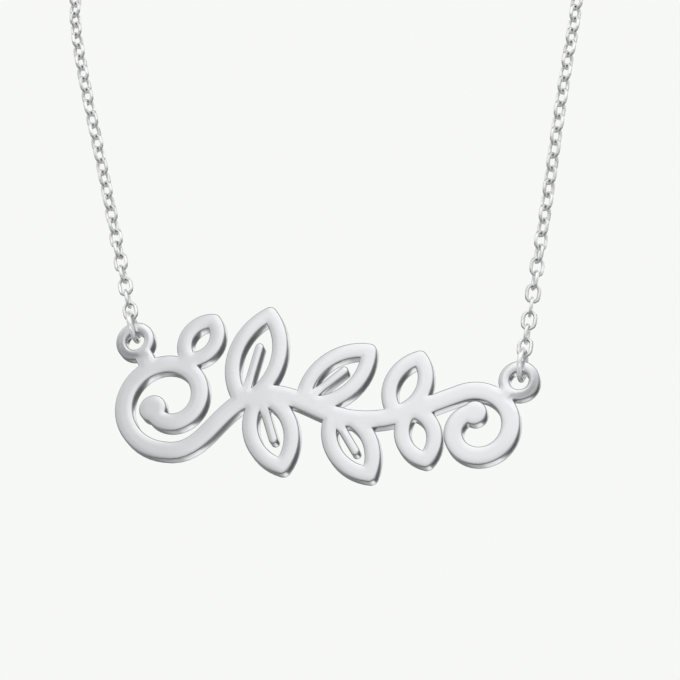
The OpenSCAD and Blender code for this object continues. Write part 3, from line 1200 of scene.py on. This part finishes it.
@dataclass
class Studio:
    """A round pale floor well below the necklace, a soft light in front and a shaded room."""

    floor_z: float = -0.45
    floor_r: float = 1.1
    floor_sides: int = 96
    floor_colour: tuple[float, float, float] = (0.8, 0.805, 0.795)
    floor_rough: float = 0.8
    mottle_scale: float = 3.0
    mottle_detail: float = 2.0
    mottle_tone: float = 0.99
    backdrop: tuple[float, float, float] = (0.93, 0.94, 0.915)
    tint: tuple[float, float, float] = (0.985, 0.99, 1.0)
    rise: Shading = Shading((
        (-90.0, 0.52), (-50.0, 0.4), (-38.0, 0.55), (-27.0, 1.0), (-19.0, 0.95),
        (-9.0, 0.52), (4.0, 0.55), (9.0, 0.6), (14.0, 0.72), (20.0, 0.85),
        (28.0, 1.02), (36.0, 1.08), (52.0, 1.08), (66.0, 0.42), (90.0, 0.25),
    ))
    aisle: Shading = Shading((
        (-180.0, 0.85), (-170.0, 0.5), (-150.0, 0.38), (-110.0, 0.5), (-70.0, 0.65),
        (-45.0, 0.75), (-30.0, 0.6), (-19.0, 0.68), (-13.0, 0.97), (-4.0, 1.0),
        (14.0, 0.9), (45.0, 0.9), (85.0, 0.75), (132.0, 0.5), (148.0, 0.18),
        (156.0, 0.22), (164.0, 1.0), (180.0, 0.85),
    ))
    light_at: tuple[float, float, float] = (-0.1, -0.85, 0.8)
    light_size: float = 1.0
    light_power: float = 12.0

    def floor(self) -> Object:
        """Lays the floor as one large round sheet, with a faint mottle.

        Returns:
            The floor, which the silver doesn't mirror.
        """
        a = circle(self.floor_sides)
        z = np.full(self.floor_sides, self.floor_z)
        points = np.stack([self.floor_r * np.cos(a), self.floor_r * np.sin(a), z], axis=-1)
        material = bpy.data.materials.new("pale_floor")
        material.use_nodes = True
        tree = material.node_tree
        place = add_node(tree, "TexCoord").outputs["Object"]
        mottle = add_node(tree, "TexNoise", place, Scale=self.mottle_scale,
                          Detail=self.mottle_detail)
        ramp = add_node(tree, "ValToRGB", mottle.outputs["Fac"])
        for stop, tone in zip(ramp.color_ramp.elements, (self.mottle_tone, 1.0)):
            stop.color = (*(c * tone for c in self.floor_colour), 1.0)
        paint = tree.nodes["Principled BSDF"]
        feed(tree, paint.inputs["Roughness"], self.floor_rough)
        feed(tree, paint.inputs["Base Color"], ramp.outputs["Color"])
        floor = new_piece("floor", points, [list(range(self.floor_sides))], material)
        floor.visible_glossy = False
        return floor

    def world(self) -> None:
        """Shades what the silver mirrors, behind a plain pale backdrop.

        The room is dark overhead, bright above the eye, grey at eye level, bright in a band
        below it and grey at the ground, with a narrow dark strip behind and to the right. Its
        tone is the product of the tone by height and the tone round the room. The camera sees
        the plain backdrop, and soft light comes from it.
        """
        world = bpy.data.worlds.new("studio_room")
        bpy.context.scene.world = world
        world.use_nodes = True
        tree = world.node_tree
        tree.nodes.clear()
        way = add_node(tree, "TexCoord").outputs["Generated"]
        x, y, z = add_node(tree, "SeparateXYZ", way).outputs
        front = add_node(tree, "Math", y, -1.0, operation="MULTIPLY")
        square = add_node(tree, "Math", z, 2.0, operation="POWER")
        rest = add_node(tree, "Math", 1.0, square.outputs["Value"], operation="SUBTRACT",
                        use_clamp=True)
        flat = add_node(tree, "Math", rest.outputs["Value"], operation="SQRT")

        by_height = self.rise.node(tree, z, flat.outputs["Value"])
        by_turn = self.aisle.node(tree, x, front.outputs["Value"])
        tone = add_node(tree, "Math", by_height, by_turn, operation="MULTIPLY")
        room = add_node(tree, "Background", Color=(*self.tint, 1.0), Strength=tone.outputs["Value"])
        plain = add_node(tree, "Background", Color=(*self.backdrop, 1.0))
        ray = add_node(tree, "LightPath")
        mix = add_node(tree, "MixShader", ray.outputs["Is Glossy Ray"], plain.outputs["Background"],
                       room.outputs["Background"])
        add_node(tree, "OutputWorld", mix.outputs["Shader"])

    def light(self) -> Object:
        """Stands one square soft light above and in front of the necklace, facing it.

        Returns:
            The light, which the silver doesn't mirror.
        """
        data = bpy.data.lights.new("soft_light", "AREA")
        data.shape = "SQUARE"
        data.size = self.light_size
        data.energy = self.light_power
        light = bpy.data.objects.new("soft_light", data)
        aim = Vector(Camera.target) - Vector(self.light_at)
        light.location = self.light_at
        light.rotation_euler = aim.to_track_quat("-Z", "Y").to_euler()
        light.visible_glossy = False
        bpy.context.scene.collection.objects.link(light)
        return light

    def build(self) -> None:
        """Sets up the floor, the room and the light, with plain colour on screen."""
        self.floor()
        self.world()
        self.light()
        bpy.context.scene.view_settings.view_transform = "Standard"
        bpy.context.scene.view_settings.look = "None"


def main() -> None:
    """Builds the camera, the room and every piece of the necklace."""
    logging.basicConfig(level=logging.INFO, format="%(name)s: %(message)s")
    Camera().build()
    Studio().build()
    plate_silver = PLATE_FINISH.material()
    ring_silver = RING_FINISH.material()
    chain_silver = CHAIN_FINISH.material()
    Nameplate(plate_silver).build()
    for hanging in HANGINGS.values():
        ConnectorRing(hanging, ring_silver).build()
    end_ring = EndRing(ring_silver)
    clasp_low, clasp_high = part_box("clasp")
    nape_y = (clasp_low[1] + clasp_high[1]) / 2.0
    ends = {
        Side.LEFT: (clasp_low[0], Z_AXIS),
        Side.RIGHT: (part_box("end_ring")[1][0], end_ring.flat),
    }
    for side, (end_x, end_wire) in ends.items():
        route = Route(HANGINGS[side], np.array([end_x, nape_y, 0.0]))
        log.info("%s strand: %.1f mm", side.word, route.length / MM)
        Strand(route, chain_silver, end_wire).build()
    RingClasp(ring_silver).build()
    end_ring.build()


if __name__ == "__main__":
    main()
